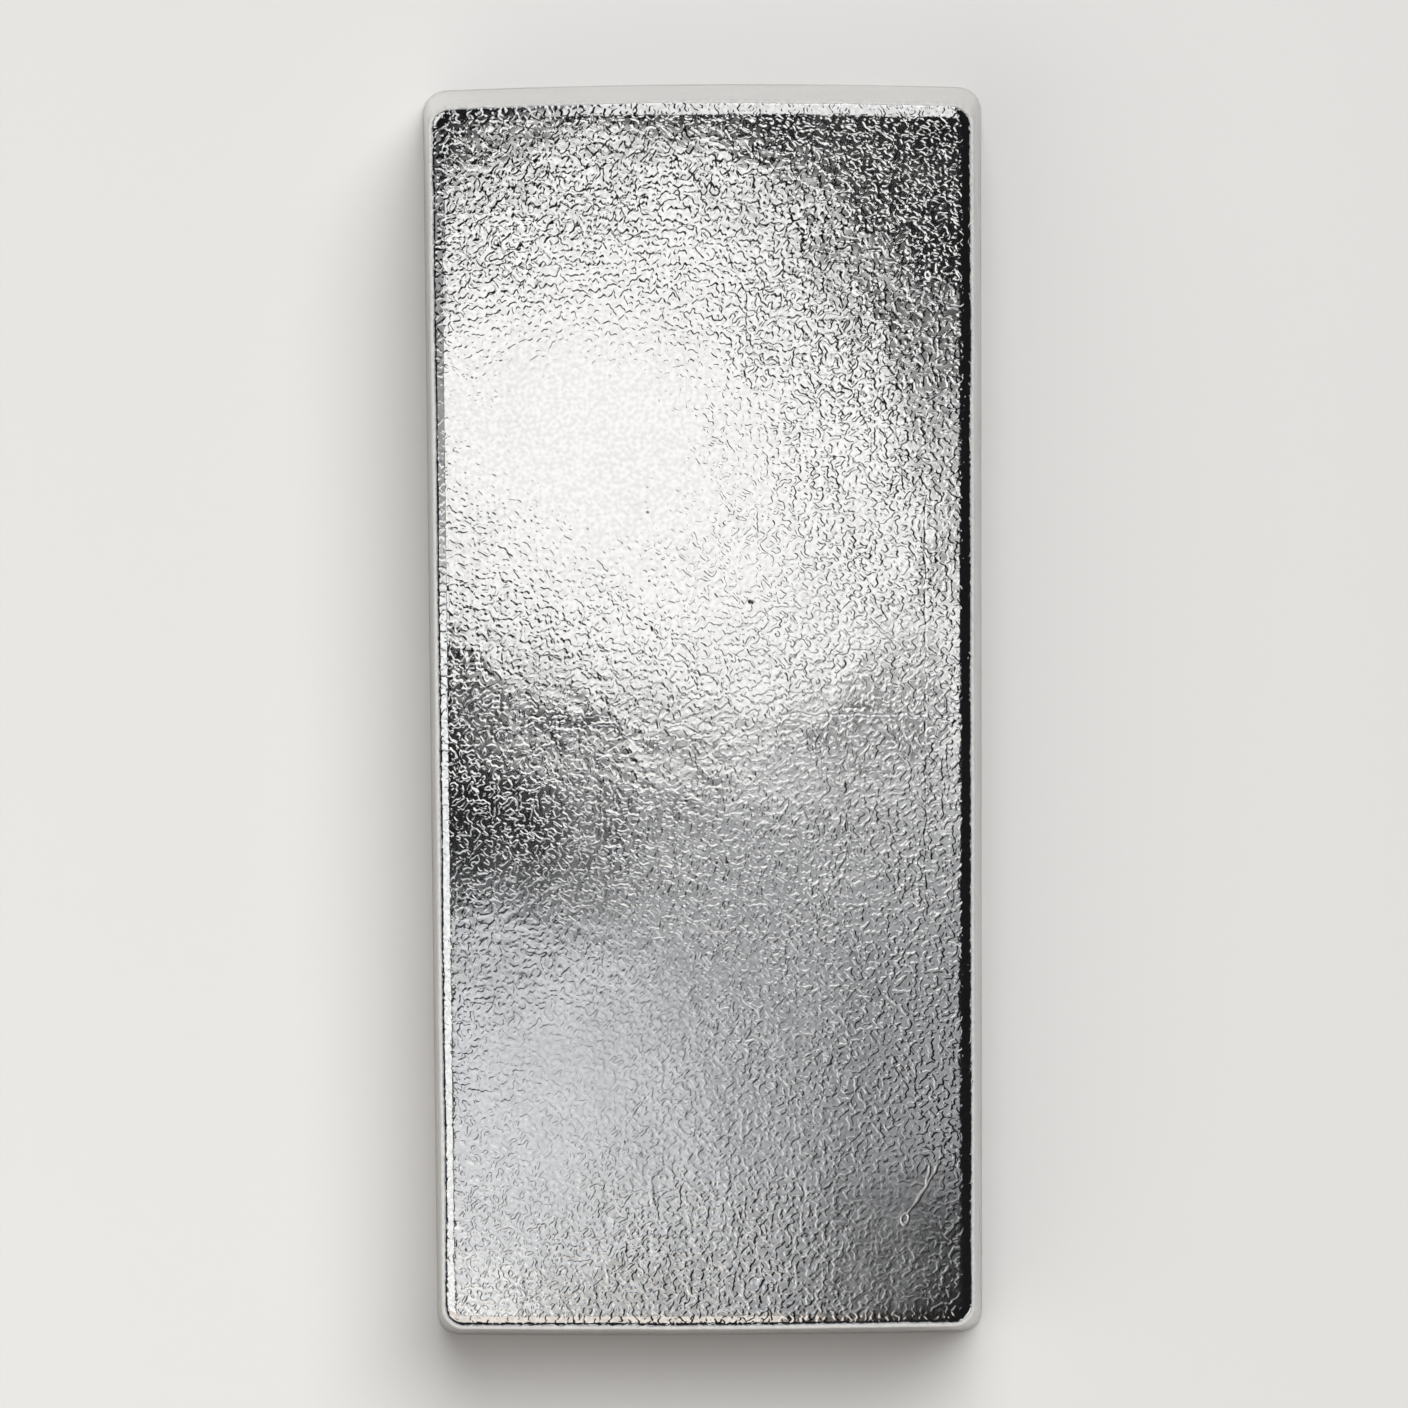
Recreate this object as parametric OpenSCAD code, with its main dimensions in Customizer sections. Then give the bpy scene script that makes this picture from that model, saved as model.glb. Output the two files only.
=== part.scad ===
// Cast ingot: one bar of fine silver, poured into an open mould and turned out on its wide side.
//
// The bar lies as it is stored. Its base is the side that was open to the air, and its upper face
// is the narrower one that lay on the mould's floor. +Z is up, +Y runs along the bar to its far,
// wider end, and the origin is the centre of the base.

/* [Bar] */
// Length over the two bowed ends, at the widest level
bar_length = 118; // [60:0.5:300]
// Width halfway along, at the widest level
bar_width = 52; // [30:0.5:140]
// Thickness from the base to the upper face
bar_thickness = 16.2; // [8:0.1:50]

/* [Mould] */
// How much wider the mould is at the far end than at the near end
taper = 1.1; // [0:0.1:4]
// Lean of the long walls from upright, in degrees, which lets the bar drop out
side_draft = 3.4; // [1:0.1:12]
// Lean of the end walls from upright, in degrees
end_draft = 7.1; // [1:0.1:15]
// How far the far end swells out at its middle
far_end_bow = 0.5; // [0:0.05:2]
// How far the near end swells out at its middle
near_end_bow = 0.2; // [0:0.05:2]

/* [Edges] */
// Radius of the four upright corners, seen from above
corner_radius = 2.1; // [1.8:0.1:5]
// Radius of the shoulder that rounds the walls into the upper face
shoulder_radius = 1.3; // [0.4:0.1:1.7]
// Radius of the base edge, where the melt drew back from the mould as it set
base_edge_radius = 0.5; // [0.2:0.1:1.7]

/* [Hidden] */

// Steps in a quarter turn of a corner, in the bow of an end, and in a quarter turn of an edge
corner_steps = 6;
bow_steps = 12;
edge_steps = 6;

// The rounded edges reach this far past both flats, which are then cut as true planes
skim = 0.04;

// The ends without their bows, and the shift that puts the bowed bar's centre over the origin
straight_length = bar_length - far_end_bow - near_end_bow;
bow_shift = (near_end_bow - far_end_bow) / 2;

// Heights of the centres of the two rounded edges
base_centre = base_edge_radius - skim;
shoulder_centre = bar_thickness + skim - shoulder_radius;

// How far a rounded edge of radius r has turned in, at a height this far past its centre
function turned_in(r, rise) = r - sqrt(max(0, r * r - rise * rise));

// How far the two rounded edges cut in at height z
function rounding(z) =
    turned_in(base_edge_radius, max(0, base_centre - z))
    + turned_in(shoulder_radius, max(0, z - shoulder_centre));

// How far in a wall is at height z, counted from its widest level
function inset(z, draft) =
    rounding(z) + (z - base_centre) * tan(draft) + base_edge_radius * (1 / cos(draft) - 1);

// Heights of the outlines that the bar is lofted through, from the base upwards
levels = concat(
    [for (i = [0 : edge_steps]) base_centre - base_edge_radius * cos(90 * i / edge_steps)],
    [for (i = [0 : edge_steps]) shoulder_centre + shoulder_radius * sin(90 * i / edge_steps)]
);

// A point of the plan of a level, widened with the taper and moved out with the bow of its end
function placed(x, y, half_width) =
    let (widening = 1 + taper * y / (2 * half_width * straight_length))
    let (swell = (y > 0 ? far_end_bow : -near_end_bow) * (1 - pow(x / half_width, 2)))
    [x * widening, y + swell + bow_shift];

// One quarter-round corner. side and end are 1 or -1, and turn is where its arc starts.
function corner(half_width, half_length, r, side, end, turn) = [
    for (i = [0 : corner_steps]) let (a = turn + 90 * i / corner_steps)
        placed(side * (half_width - r) + r * cos(a), end * (half_length - r) + r * sin(a), half_width)
];

// The run of an end between its two corners, starting from the given side
function end_run(half_width, half_length, r, side, end) = [
    for (i = [1 : bow_steps - 1])
        placed(side * (half_width - r) * (1 - 2 * i / bow_steps), end * half_length, half_width)
];

// The closed outline at height z, counter-clockwise from above, as points in space
function outline(z) =
    let (
        w = bar_width / 2 - inset(z, side_draft),
        l = straight_length / 2 - inset(z, end_draft),
        r = corner_radius - rounding(z),
        plan = concat(
            corner(w, l, r, 1, -1, -90),
            corner(w, l, r, 1, 1, 0),
            end_run(w, l, r, 1, 1),
            corner(w, l, r, -1, 1, 90),
            corner(w, l, r, -1, -1, 180),
            end_run(w, l, r, -1, -1)
        )
    )
    [for (p = plan) [p[0], p[1], z]];

// The closed skin through all the outlines
module casting() {
    rings = [for (z = levels) outline(z)];
    count = len(rings[0]);
    top = (len(rings) - 1) * count;
    skin = [
        for (i = [0 : len(rings) - 2], j = [0 : count - 1])
            let (a = i * count + j, b = i * count + (j + 1) % count)
            each [[a, a + count, b + count], [a, b + count, b]]
    ];
    base_cap = [for (j = [0 : count - 1]) j];
    face_cap = [for (j = [count - 1 : -1 : 0]) top + j];
    polyhedron([for (ring = rings) each ring], concat(skin, [base_cap, face_cap]));
}

// The bar as it was turned out, with its base and its upper face flat
module ingot() {
    color("silver")
        intersection() {
            casting();
            translate([-bar_width, -bar_length, 0])
                cube([2 * bar_width, 2 * bar_length, bar_thickness]);
        }
}

ingot();
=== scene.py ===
import math

import bpy
import numpy as np
from mathutils import Matrix, Vector, noise


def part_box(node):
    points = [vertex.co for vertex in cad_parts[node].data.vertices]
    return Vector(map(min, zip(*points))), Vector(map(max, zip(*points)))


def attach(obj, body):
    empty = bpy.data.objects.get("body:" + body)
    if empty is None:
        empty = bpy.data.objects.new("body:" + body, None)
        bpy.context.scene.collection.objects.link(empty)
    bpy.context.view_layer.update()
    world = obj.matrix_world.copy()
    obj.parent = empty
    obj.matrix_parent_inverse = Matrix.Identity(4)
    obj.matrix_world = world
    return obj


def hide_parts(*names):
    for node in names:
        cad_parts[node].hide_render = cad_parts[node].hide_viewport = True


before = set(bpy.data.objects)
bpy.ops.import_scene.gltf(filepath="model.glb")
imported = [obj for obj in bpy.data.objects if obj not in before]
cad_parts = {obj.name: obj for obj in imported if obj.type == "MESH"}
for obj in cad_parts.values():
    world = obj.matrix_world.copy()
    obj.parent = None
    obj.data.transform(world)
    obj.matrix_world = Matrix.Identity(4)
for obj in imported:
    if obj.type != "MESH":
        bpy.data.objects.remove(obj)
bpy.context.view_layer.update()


# ---- The bar's form ---------------------------------------------------------------------------
# One bar of fine silver, poured into an open mould and turned out on its wide side. The walls and
# the rounded shoulder took the mould's smooth dressing, and the upper face lay on its floor.
# The form is lofted level by level, and its length and thickness come from the frame.

MM = 0.001

lowest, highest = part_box("ingot")
bar_width = 52.0
bar_length = (highest.y - lowest.y) / MM
bar_thickness = (highest.z - lowest.z) / MM
taper = 1.1
side_draft = math.radians(3.4)
end_draft = math.radians(7.1)
far_end_bow = 0.5
near_end_bow = 0.2
corner_radius = 2.1
shoulder_radius = 1.3
base_edge_radius = 0.5

straight_length = bar_length - far_end_bow - near_end_bow
bow_shift = (near_end_bow - far_end_bow) / 2
base_centre = base_edge_radius
shoulder_centre = bar_thickness - shoulder_radius

# Squares across and along the upper face. Below the shoulder three of them meet one of the wall's.
SQUARES_ACROSS = 168
SQUARES_ALONG = 402
FINE_TO_COARSE = 3
SHOULDER_ROWS = 8
WALL_ROWS = 16
BASE_EDGE_ROWS = 4


def rounding(z):
    """How far the rounded shoulder and base edge cut in at height z."""
    up = np.clip(z - shoulder_centre, 0, shoulder_radius)
    down = np.clip(base_centre - z, 0, base_edge_radius)
    shoulder = shoulder_radius - np.sqrt(shoulder_radius**2 - up**2)
    return shoulder + base_edge_radius - np.sqrt(base_edge_radius**2 - down**2)


def on_level(u, v, z):
    """The point of the bar at height z, for u and v from -1 to 1 across and along its plan."""
    half_width = bar_width / 2 - rounding(z) - (z - base_centre) * math.tan(side_draft)
    half_length = straight_length / 2 - rounding(z) - (z - base_centre) * math.tan(end_draft)
    r = corner_radius - rounding(z)
    x, y = np.abs(u) * half_width, np.abs(v) * half_length
    past_x = np.maximum(x - (half_width - r), 0)
    past_y = np.maximum(y - (half_length - r), 0)
    pull = np.maximum(past_x, past_y) / np.maximum(np.hypot(past_x, past_y), 1e-9)
    x = np.sign(u) * (np.minimum(x, half_width - r) + past_x * pull)
    y = np.sign(v) * (np.minimum(y, half_length - r) + past_y * pull)
    bow = np.where(y > 0, far_end_bow, -near_end_bow) * (1 - (x / half_width) ** 2)
    widening = 1 + taper * y / (2 * half_width * straight_length)
    return np.stack([x * widening, y + bow + bow_shift, np.full_like(x, z)], axis=-1)


def rim_of(columns, rows):
    """u and v of the points round a grid's rim, counter-clockwise from its near left corner."""
    across = np.linspace(-1, 1, columns + 1)
    along = np.linspace(-1, 1, rows + 1)
    u = np.concatenate([across[:-1], np.ones(rows), across[:0:-1], -np.ones(rows)])
    v = np.concatenate([-np.ones(columns), along[:-1], np.ones(columns), along[:0:-1]])
    return u, v


def rim_numbers(columns, rows):
    """The numbers of a grid's rim points, in the order of rim_of."""
    grid = np.arange((columns + 1) * (rows + 1)).reshape(rows + 1, columns + 1)
    return np.concatenate([grid[0, :-1], grid[:-1, -1], grid[-1, :0:-1], grid[:0:-1, 0]])


def grid_faces(columns, rows, upwards):
    """The squares of a flat grid, facing up or down."""
    grid = np.arange((columns + 1) * (rows + 1)).reshape(rows + 1, columns + 1)
    corners = [grid[:-1, :-1], grid[:-1, 1:], grid[1:, 1:], grid[1:, :-1]]
    faces = np.stack([c.ravel() for c in corners], axis=-1)
    return faces if upwards else faces[:, ::-1]


def level_heights():
    """Heights of the rows below the upper face, first the fine ones and then the coarse ones."""
    turn = np.linspace(0, math.pi / 2, SHOULDER_ROWS + 1)[1:]
    fine = shoulder_centre + shoulder_radius * np.cos(turn)
    wall = np.linspace(shoulder_centre, base_centre, WALL_ROWS + 1)[1:]
    turn = np.linspace(0, math.pi / 2, BASE_EDGE_ROWS + 1)[1:]
    return fine, np.concatenate([wall, base_centre - base_edge_radius * np.sin(turn)])


def bar_surface():
    """The smooth bar: its points and its faces, closed all round."""
    across, along = np.linspace(-1, 1, SQUARES_ACROSS + 1), np.linspace(-1, 1, SQUARES_ALONG + 1)
    v, u = np.meshgrid(along, across, indexing="ij")
    points = [on_level(u.ravel(), v.ravel(), bar_thickness)]
    faces = list(map(tuple, grid_faces(SQUARES_ACROSS, SQUARES_ALONG, True)))
    above = rim_numbers(SQUARES_ACROSS, SQUARES_ALONG)
    count = len(points[0])
    fine, coarse = level_heights()

    u, v = rim_of(SQUARES_ACROSS, SQUARES_ALONG)
    for z in fine:
        points.append(on_level(u, v, z))
        below = count + np.arange(len(u))
        count += len(u)
        for k in range(len(u)):
            n = (k + 1) % len(u)
            faces.append((above[k], below[k], below[n], above[n]))
        above = below

    columns, rows = SQUARES_ACROSS // FINE_TO_COARSE, SQUARES_ALONG // FINE_TO_COARSE
    u, v = rim_of(columns, rows)
    for step, z in enumerate(coarse[:-1]):
        points.append(on_level(u, v, z))
        below = count + np.arange(len(u))
        count += len(u)
        for k in range(len(u)):
            n = (k + 1) % len(u)
            if step:
                faces.append((above[k], below[k], below[n], above[n]))
                continue
            a, b, c = (above[FINE_TO_COARSE * k + i] for i in range(3))
            d = above[(FINE_TO_COARSE * (k + 1)) % len(above)]
            faces += [(a, below[k], b), (b, below[k], below[n], c), (c, below[n], d)]
        above = below

    across, along = np.linspace(-1, 1, columns + 1), np.linspace(-1, 1, rows + 1)
    v, u = np.meshgrid(along, across, indexing="ij")
    points.append(on_level(u.ravel(), v.ravel(), coarse[-1]))
    rim = count + rim_numbers(columns, rows)
    for k in range(len(rim)):
        n = (k + 1) % len(rim)
        faces.append((above[k], rim[k], rim[n], above[n]))
    faces += list(map(tuple, count + grid_faces(columns, rows, False)))
    return np.concatenate(points), [tuple(map(int, f)) for f in faces]


points, faces = bar_surface()
ingot_mesh = bpy.data.meshes.new("ingot_casting")
ingot_mesh.from_pydata((points * MM).tolist(), [], faces)
ingot_mesh.update()
ingot = bpy.data.objects.new("ingot_casting", ingot_mesh)
bpy.context.collection.objects.link(ingot)

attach(ingot, "root")
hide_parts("ingot")


# ---- The relief of the chilled face ------------------------------------------------------------
# The melt froze at once where it met the cold mould floor. The face is never quite flat: it swells
# and sinks by a tenth of a millimetre, and it is covered with wrinkles that fade out on the walls.
# Every point moves inward only, so that the bar keeps its size.

swell_spacing, swell_depth = 19.0, 0.13
dip_spacing, dip_depth = 7.0, 0.035
wrinkle_spacing, wrinkle_depth = 2.1, 0.011
ripple_spacing, ripple_depth = 1.0, 0.006
wall_wave_spacing, wall_wave_depth = 13.0, 0.07
wall_dimple_spacing, wall_dimple_depth = 3.7, 0.045


def rough_field(spots, spacing, seed):
    """Smooth noise from 0 to 1 with lumps this far apart, at each of the spots."""
    moved = spots / spacing + seed
    return np.array([0.5 + 0.5 * noise.noise(Vector(spot)) for spot in moved])


def soft_step(value, low, high):
    """0 below low and 1 above high, with a smooth rise between."""
    t = np.clip((value - low) / (high - low), 0, 1)
    return t * t * (3 - 2 * t)


# Up is 1 where the skin lies flat, 0 on an upright wall and -1 underneath.
normals = np.array([n.vector for n in ingot_mesh.vertex_normals])
towards_far_end, up = normals[:, 1], normals[:, 2]
on_face = soft_step(up, 0.55, 0.97)
above_base_edge = points[:, 2] > base_centre
on_walls = (1 - on_face) * above_base_edge

depth = swell_depth * on_face * rough_field(points, swell_spacing, 3.1)
depth += dip_depth * on_face * rough_field(points, dip_spacing, 11.7)
depth += wrinkle_depth * on_face * rough_field(points, wrinkle_spacing, 5.3)
depth += ripple_depth * on_face * rough_field(points, ripple_spacing, 8.9)
depth += wall_wave_depth * on_walls * rough_field(points, wall_wave_spacing, 21.4)
depth += wall_dimple_depth * on_walls * rough_field(points, wall_dimple_spacing, 27.9)
points -= normals * depth[:, None]
ingot_mesh.vertices.foreach_set("co", (points * MM).ravel())
ingot_mesh.shade_smooth()
ingot_mesh.update()


def keep(name, values):
    """Stores one number for each point of the casting, for its material to read."""
    layer = ingot_mesh.attributes.new(name, "FLOAT", "POINT")
    layer.data.foreach_set("value", np.asarray(values, dtype=np.float32))


def patch(x, y, half_width, half_length):
    """1 at a place on the face, falling to 0 some way past half_width and half_length from it."""
    return np.exp(-(((points[:, 0] - x) / half_width) ** 2) - ((points[:, 1] - y) / half_length) ** 2)


# The crinkles stand out in some places, are faint in others, and are patchy all over.
usual, faintest = 0.66, 0.1
lively = 0.7 * patch(-21, 50, 12, 9) + 0.45 * patch(17, 38, 12, 17) + 0.15 * patch(-18, 3, 9, 8)
lively += 0.4 * patch(-2, -52, 13, 7)
calm = 0.5 * patch(-12, 26, 19, 17) + 0.4 * patch(-13, -32, 13, 16) + 0.4 * patch(17, -50, 9, 11)
calm += 0.15 * patch(5, 0, 12, 12) + 0.2 * patch(-22, -11, 9, 6) + 0.25 * patch(19.5, -45, 2.5, 3.5)
patchy_spacing, least, most = 3.5, 0.45, 1.55
patchy = least + (most - least) * rough_field(points, patchy_spacing, 17.3)
keep("crinkled", np.maximum(usual + lively - calm, faintest) * patchy)
keep("hazy", patch(-10, -34, 16, 18) + patch(17, -50, 10, 10))
keep("chilled", soft_step(up, 0.35, 0.8))
# The film covers the walls and underside but is kept 70% off the far-end wall; that clearing is
# painted light, leaving that wall lighter.
far_end_painted_lighter = 0.7 * soft_step(towards_far_end, 0.3, 0.7)
keep("film_reach_and_painted_light", (1 - soft_step(up, 0.2, 0.6)) * (1 - far_end_painted_lighter))
keep("shoulder", soft_step(up, 0.4, 0.7) * (1 - soft_step(up, 0.97, 0.9995)))


# ---- The silver's surface ----------------------------------------------------------------------
# Fine silver, as cast. The face is bright, with a skin of crinkles about half a millimetre apart,
# flat between steep edges. The walls are smoother and duller, and marked by the mould they slid from.


def srgb(code):
    """A colour written as an sRGB hex value, turned to linear."""
    parts = [int(code[i : i + 2], 16) / 255 for i in (1, 3, 5)]
    return [c / 12.92 if c <= 0.04045 else ((c + 0.055) / 1.055) ** 2.4 for c in parts] + [1.0]


def add_node(tree, kind, *inputs, **named):
    """Adds one node. Inputs are numbers or links in the order of its sockets. Of the named ones,
    those in lower case are its settings, and those with a capital are sockets."""
    node = tree.nodes.new("ShaderNode" + kind)
    given = dict(enumerate(inputs))
    for name, value in named.items():
        if name[0].islower():
            setattr(node, name, value)
        else:
            given[name.replace("_", " ")] = value
    for socket, value in given.items():
        if isinstance(value, bpy.types.NodeSocket):
            tree.links.new(value, node.inputs[socket])
        else:
            node.inputs[socket].default_value = value
    return node.outputs[0] if node.outputs else node


silver = bpy.data.materials.new("chill_cast_fine_silver")
silver.use_nodes = True
tree = silver.node_tree
tree.nodes.clear()

crinkled = add_node(tree, "Attribute", attribute_name="crinkled").node.outputs["Fac"]
chilled = add_node(tree, "Attribute", attribute_name="chilled").node.outputs["Fac"]
shoulder = add_node(tree, "Attribute", attribute_name="shoulder").node.outputs["Fac"]
hazy = add_node(tree, "Attribute", attribute_name="hazy").node.outputs["Fac"]
film_reach_and_painted_light = add_node(tree, "Attribute", attribute_name="film_reach_and_painted_light").node.outputs["Fac"]
place = add_node(tree, "TexCoord").node.outputs["Object"]
in_mm = add_node(tree, "VectorMath", place, operation="SCALE", Scale=1 / MM)

# Places drift by a few tenths of a millimetre, so that nothing on the skin runs straight.
drift_spacing, drift_reach = 1.3, 0.4
drift = add_node(tree, "TexNoise", in_mm, noise_dimensions="2D", Scale=1 / drift_spacing, Detail=0.0)
drift = drift.node.outputs["Color"]
drift = add_node(tree, "VectorMath", drift, (0.5, 0.5, 0.5), operation="SUBTRACT")
drift = add_node(tree, "VectorMath", drift, operation="SCALE", Scale=drift_reach)
wandering = add_node(tree, "VectorMath", in_mm, drift, operation="ADD")


def lumps(where, spacing, seed, dimensions="2D", detail=0.0):
    """Smooth lumps from 0 to 1, this many millimetres apart. Each seed gives different ones."""
    moved = add_node(tree, "VectorMath", where, (seed, 2 * seed, 3 * seed), operation="ADD")
    how = {"noise_dimensions": dimensions, "Scale": 1 / spacing, "Detail": detail}
    return add_node(tree, "TexNoise", moved, **how)


def islands(spacing, seed, level, shore, height):
    """Flat islands this high over a flat ground: bigger ones below level 0.5, smaller ones above it.
    Their shores take up this share of the rise."""
    ground = lumps(wandering, spacing, seed)
    low, high = level - shore, level + shore
    rise = add_node(tree, "MapRange", ground, low, high, interpolation_type="SMOOTHSTEP")
    return add_node(tree, "Math", rise, height, -height / 2, operation="MULTIPLY_ADD")


# Heights are in millimetres above and below the mean.
crinkle_spacing, crinkle_height = 0.5, 0.016
fold_spacing, fold_height = 0.9, 0.007
extra_on_shoulder = 0.4
height = islands(crinkle_spacing, 3.0, 0.6, 0.14, crinkle_height)
folds = islands(fold_spacing, 7.0, 0.4, 0.09, fold_height)
height = add_node(tree, "Math", height, folds, operation="ADD")
reach = add_node(tree, "Math", shoulder, extra_on_shoulder, chilled, operation="MULTIPLY_ADD")
reach = add_node(tree, "Math", reach, crinkled, operation="MULTIPLY")
height = add_node(tree, "Math", height, reach, operation="MULTIPLY")

on_plan = add_node(tree, "VectorMath", wandering, (1, 1, 0), operation="MULTIPLY")


def away_from(*strokes):
    """Distance over the face, in millimetres, from the nearest of these strokes between two places."""
    nearest = bar_length
    for start, end in strokes:
        run = Vector((*end, 0)) - Vector((*start, 0))
        out = add_node(tree, "VectorMath", on_plan, (*start, 0), operation="SUBTRACT")
        along = add_node(tree, "VectorMath", out, run / run.length_squared, operation="DOT_PRODUCT")
        along = add_node(tree, "Clamp", along.node.outputs["Value"])
        along = add_node(tree, "VectorMath", tuple(run), operation="SCALE", Scale=along)
        away = add_node(tree, "VectorMath", out, along, operation="DISTANCE").node.outputs["Value"]
        nearest = add_node(tree, "Math", away, nearest, operation="MINIMUM")
    return nearest


def faded(distance, near, far):
    """1 where the distance is below near, and 0 beyond far."""
    return add_node(tree, "MapRange", distance, near, far, 1.0, 0.0, interpolation_type="SMOOTHSTEP")


# Scores left by the mould's floor, a lap where two tongues of melt met, and two small blisters
scores = [((4.2, 39.4), (4.1, 31.1)), ((13.2, -0.5), (13.1, -13.5))]
scores += [((20.6, 20.8), (20.4, -17.2)), ((7.0, 0.1), (24.2, 0.0))]
lap = [((-17.5, -49.6), (-16.7, -53.2)), ((-16.7, -53.2), (-17.5, -56.6))]
blisters = [((-6.5, -39.8), (-6.4, -40.8)), ((-5.3, -43.9), (-5.1, -45.2))]
widths_and_rises = ((scores, 0.17, -0.005), (lap, 0.35, -0.008), (blisters, 0.42, 0.011))
marked = 0.0
for strokes, half_width, rise in widths_and_rises:
    mark = faded(away_from(*strokes), 0.0, half_width)
    marked = add_node(tree, "Math", mark, rise, marked, operation="MULTIPLY_ADD")

# A drop that splashed ahead of the melt and froze as a ring with a forked tail, a little duller
ring_place, ring_radius = (18.3, -46.8, 0), 0.42
tail_start, tail_fork, tail_tips = (18.55, -46.4), (20.2, -43.8), ((21.6, -41.6), (20.6, -42.0))
splash_half_width, splash_rise = 0.19, 0.03
from_ring = add_node(tree, "VectorMath", on_plan, ring_place, operation="DISTANCE")
from_ring = add_node(tree, "Math", from_ring.node.outputs["Value"], ring_radius, operation="SUBTRACT")
from_ring = add_node(tree, "Math", from_ring, operation="ABSOLUTE")
from_tail = away_from((tail_start, tail_fork), *[(tail_fork, tip) for tip in tail_tips])
from_splash = add_node(tree, "Math", from_ring, from_tail, operation="MINIMUM")
splash = faded(from_splash, 0.0, splash_half_width)
marked = add_node(tree, "Math", splash, splash_rise, marked, operation="MULTIPLY_ADD")

# One open pit, and pinholes strewn over the face and more thickly over the walls
off_face = add_node(tree, "MapRange", chilled, 0.0, 0.6, 1.0, 0.0)
hole_depth, pinhole_spacing, pinhole_share = 0.03, 2.3, 0.7
pit_floor, pit_rim = 0.08, 0.24
pit = faded(away_from(((4.34, 10.44), (4.42, 10.4))), pit_floor, pit_rim)
cells = add_node(tree, "TexVoronoi", in_mm, Scale=1 / pinhole_spacing).node
rarity = add_node(tree, "MapRange", off_face, 0.0, 1.0, 0.6, 0.25)
chosen = add_node(tree, "SeparateColor", cells.outputs["Color"])
chosen = add_node(tree, "Math", chosen, rarity, operation="GREATER_THAN")
pinholes = faded(cells.outputs["Distance"], 0.02, 0.06)
pinholes = add_node(tree, "Math", pinholes, chosen, operation="MULTIPLY")
holes = add_node(tree, "Math", pinholes, pinhole_share, pit, operation="MULTIPLY_ADD")
height = add_node(tree, "Math", marked, chilled, height, operation="MULTIPLY_ADD")
height = add_node(tree, "Math", holes, -hole_depth, height, operation="MULTIPLY_ADD")

# The mould's draw marks on the walls
streak_spacing, streak_length, streak_depth = 0.5, 11.0, 0.014
along_wall = (1 / streak_length, 1 / streak_length, 1 / streak_spacing)
along_wall = add_node(tree, "VectorMath", in_mm, along_wall, operation="MULTIPLY")
streaks = lumps(along_wall, 1.0, 4.0, "3D", 1.0)
on_wall_streaks = add_node(tree, "Math", streaks, off_face, operation="MULTIPLY")
height = add_node(tree, "Math", on_wall_streaks, streak_depth, height, operation="MULTIPLY_ADD")

# A dull grey film of mould dressing is left on the walls, in patches and along the draw marks.
# Where it thins on the far-end wall, it is painted light that keeps that wall lighter.
film_spacing = 5.0
film_and_painted_light = lumps(in_mm, film_spacing, 15.0, "3D", 4.0)
film_and_painted_light = add_node(tree, "MapRange", film_and_painted_light, 0.3, 0.7, 0.46, 0.68)
lines = add_node(tree, "MapRange", streaks, 0.35, 0.8, 0.0, 0.25)
film_and_painted_light = add_node(tree, "Math", film_and_painted_light, lines, operation="ADD")
film_and_painted_light = add_node(tree, "Math", film_and_painted_light, film_reach_and_painted_light, operation="MULTIPLY", use_clamp=True)

# The face is smoother in some places than in others, and the walls are duller.
sheen_spacing, smoothest, roughest = 6.0, 0.06, 0.095
roughness = lumps(in_mm, sheen_spacing, 2.0, "3D", 1.0)
roughness = add_node(tree, "MapRange", roughness, 0.35, 0.65, smoothest, roughest)
for where, extra in ((off_face, 0.09), (film_and_painted_light, 0.12), (hazy, 0.06), (splash, 0.35)):
    roughness = add_node(tree, "Math", where, extra, roughness, operation="MULTIPLY_ADD")

# The white of the metal under a grey bloom, which is drawn coarser than it is so that it shows,
# then the film, and dark grey in the holes
bloom_spacing, under_bloom = 0.4, 0.86
bloom = lumps(in_mm, bloom_spacing, 9.0, "3D")
bloom = add_node(tree, "MapRange", bloom, 0.3, 0.7, 1.0, under_bloom)
colour = add_node(tree, "VectorMath", srgb("#f5f5f4")[:3], operation="SCALE", Scale=bloom)
# The film's grey is thinned on the far-end wall as painted light.
for amount, over in ((film_and_painted_light, "#a19e99"), (holes, "#4a4643")):
    layer = add_node(tree, "Mix", amount, data_type="RGBA").node
    tree.links.new(colour, layer.inputs[6])
    layer.inputs[7].default_value = srgb(over)
    colour = layer.outputs[2]

bump = add_node(tree, "Bump", Height=height, Distance=MM, Strength=1.0)
shader = add_node(tree, "BsdfPrincipled", colour, Metallic=1.0, Roughness=roughness, Normal=bump)
add_node(tree, "OutputMaterial", shader)
ingot_mesh.materials.append(silver)


# ---- The floor ---------------------------------------------------------------------------------
# A plain pale sheet of matt paper under the bar, far wider than the view. It belongs to the stage.
# It reflects soft grey light into the walls.

floor_reach = 3.0
floor_corners = [(-floor_reach, -floor_reach, 0), (floor_reach, -floor_reach, 0)]
floor_corners += [(floor_reach, floor_reach, 0), (-floor_reach, floor_reach, 0)]
floor_mesh = bpy.data.meshes.new("floor")
floor_mesh.from_pydata(floor_corners, [], [(0, 1, 2, 3)])
floor = bpy.data.objects.new("floor", floor_mesh)
bpy.context.collection.objects.link(floor)
pale = bpy.data.materials.new("pale_paper")
pale.use_nodes = True
paper = pale.node_tree.nodes["Principled BSDF"].inputs
paper["Base Color"].default_value = srgb("#dedddb")
paper["Roughness"].default_value = 0.9
floor_mesh.materials.append(pale)


# ---- The camera --------------------------------------------------------------------------------
# It looks almost straight down from 0.9 m up, from a little past the bar's middle, with the far
# end at the top. Its view is 133 mm wide at the floor.

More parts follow.
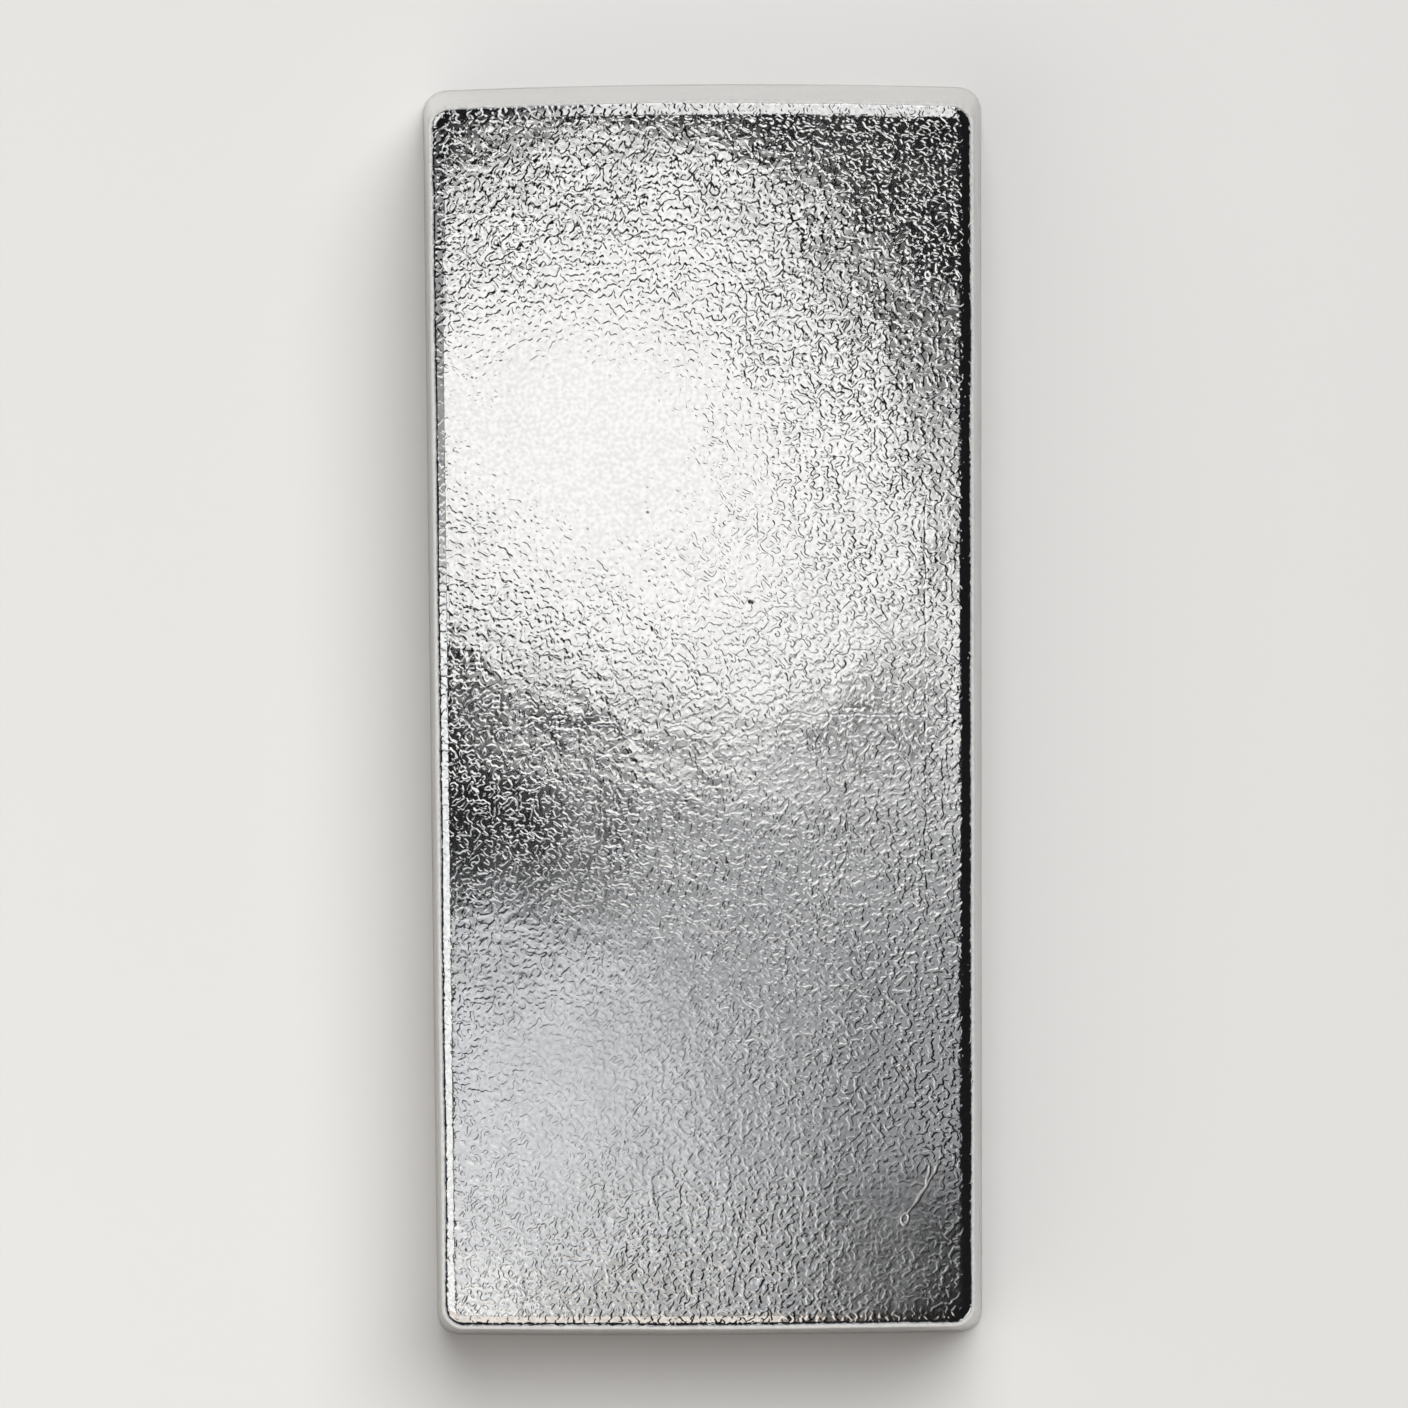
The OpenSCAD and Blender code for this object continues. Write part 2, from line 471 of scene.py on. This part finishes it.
camera_place = Vector((5.3, 27, 900)) * MM
camera_aim = Vector((-0.17, 0.63, 0)) * MM
camera_roll = math.radians(-0.37)
view_width = 132.8

camera_data = bpy.data.cameras.new("camera")
camera_data.sensor_width = 36
camera_data.lens = camera_data.sensor_width * camera_place.z / MM / view_width
camera_data.clip_start = 0.01
camera_data.clip_end = 20
camera = bpy.data.objects.new("camera", camera_data)
bpy.context.collection.objects.link(camera)
camera.location = camera_place
behind = (camera_place - camera_aim).normalized()
rightwards = Vector((0, 1, 0)).cross(behind).normalized()
upwards = behind.cross(rightwards)
roll = Matrix.Rotation(camera_roll, 3, "Z")
camera.rotation_euler = (Matrix((rightwards, upwards, behind)).transposed() @ roll).to_euler()
bpy.context.scene.camera = camera


# ---- The light ---------------------------------------------------------------------------------
# Soft cards hang close over the bar, and its bright face mirrors them. Wider softboxes stand
# round it for the shoulders, the room is dim above and pale low down, and one soft light from
# above is for the floor.

card_height = 300.0


def softbox(name, centre, aim, size, radiance, colour, shape="RECTANGLE", turn=0):
    """A soft light that the bar mirrors and the camera does not see. Lengths are millimetres, and
    the turn is in degrees in its own plane."""
    filled = {"RECTANGLE": 1.0, "ELLIPSE": math.pi / 4}[shape]
    light = bpy.data.lights.new(name, "AREA")
    light.shape = shape
    light.size, light.size_y = size[0] * MM, size[1] * MM
    light.energy = radiance * math.pi * filled * light.size * light.size_y
    light.color = srgb(colour)[:3]
    lamp = bpy.data.objects.new(name, light)
    lamp.location = Vector(centre) * MM
    away = lamp.location - Vector(aim) * MM
    facing = away.to_track_quat("Z", "Y").to_matrix()
    lamp.rotation_euler = (facing @ Matrix.Rotation(math.radians(turn), 3, "Z")).to_euler()
    lamp.visible_camera = False
    bpy.context.collection.objects.link(lamp)


above_face = camera_place.z / MM - bar_thickness
spread = 1 + card_height / above_face


def mirrored(x, y):
    """Where the camera, looking at this place on the face, sees its reflection at card height."""
    return np.array([x, y]) * spread - np.array(camera_place[:2]) / MM * card_height / above_face


def overhead(name, middle, size, *look):
    """A card that hangs flat at card height."""
    x, y = middle
    softbox(name, (x, y, bar_thickness + card_height), (x, y, 0), size, *look)


def card(name, left, right, near, far, radiance, colour):
    """A card overhead that shows in one rectangle of the upper face."""
    low, high = mirrored(left, near), mirrored(right, far)
    overhead(name, (low + high) / 2, high - low, radiance, colour)


# The key is oval and lies aslant over the far half, and other cards fill in round it.
key_place, key_size, key_turn = (-4.8, 24.4), np.array([61, 50.4]), -58
overhead("key", mirrored(*key_place), key_size * spread, 1.06, "#fffefd", "ELLIPSE", key_turn)
card("left_of_key", -55, -31, 9, 44, 1.05, "#fffefd")
card("right_of_key", 21, 34, -5.6, 12, 1.0, "#ffffff")
card("beyond_right_of_key", 23.5, 34, 12, 36, 0.62, "#ffffff")
card("middle", 0, 34, -9.5, -5.6, 0.85, "#ffffff")
card("below_middle", -7, 30, -22, -9.5, 0.40, "#f4f6f9")
card("lower_left", -40, -1, -52, -20, 0.88, "#eceef2")
card("lower_middle", -1, 12, -62, -22, 0.46, "#eceef2")
card("lower_right", 12, 18, -45, -22, 0.26, "#eceef2")
card("lower_far_right", 18, 32, -45, -22, 0.42, "#eceef2")
card("near_left_corner", -42, -15, -80, -43, 1.15, "#f4f3f1")
card("near_end", -15, 12, -80, -52, 0.5, "#f2eee8")
softbox("left", (-263, -70, 316), (-94, -70, 0), (160, 355), 1.0, "#ffffff")
softbox("left_beyond", (-263, 35, 316), (-94, 35, 0), (50, 355), 0.35, "#ffffff")
softbox("near", (-240, -292, 322), (-240, -130, 0), (500, 330), 0.9, "#fff6ee")
softbox("far", (28, 265, 240), (28, 0, 0), (106, 488), 0.9, "#ffffff")
softbox("far_left", (-330, 330, 215), (0, 0, 0), (400, 110), 0.9, "#ffffff")
softbox("near_right", (350, -350, 150), (0, 0, 0), (420, 90), 0.9, "#ffffff")

room_light = bpy.data.lights.new("room_light", "SUN")
room_light.energy = 2.9
room_light.angle = math.radians(50)
room_lamp = bpy.data.objects.new("room_light", room_light)
room_lamp.rotation_euler = (math.radians(-32), math.radians(14), 0)
room_lamp.visible_glossy = False
bpy.context.collection.objects.link(room_lamp)

room = bpy.data.worlds.new("studio")
bpy.context.scene.world = room
room.use_nodes = True
sky = room.node_tree
direction = add_node(sky, "TexCoord").node.outputs["Generated"]
height_in_sky = add_node(sky, "SeparateXYZ", direction).node.outputs["Z"]
dim_from, dim_to, low_glow, high_glow = 0.12, 0.28, 0.55, 0.012
glow = (height_in_sky, dim_from, dim_to, low_glow, high_glow)
glow = add_node(sky, "MapRange", *glow, interpolation_type="SMOOTHSTEP")
sky.links.new(glow, sky.nodes["Background"].inputs["Strength"])
sky.nodes["Background"].inputs["Color"].default_value = srgb("#f4f6fa")

bpy.context.scene.view_settings.view_transform = "Standard"
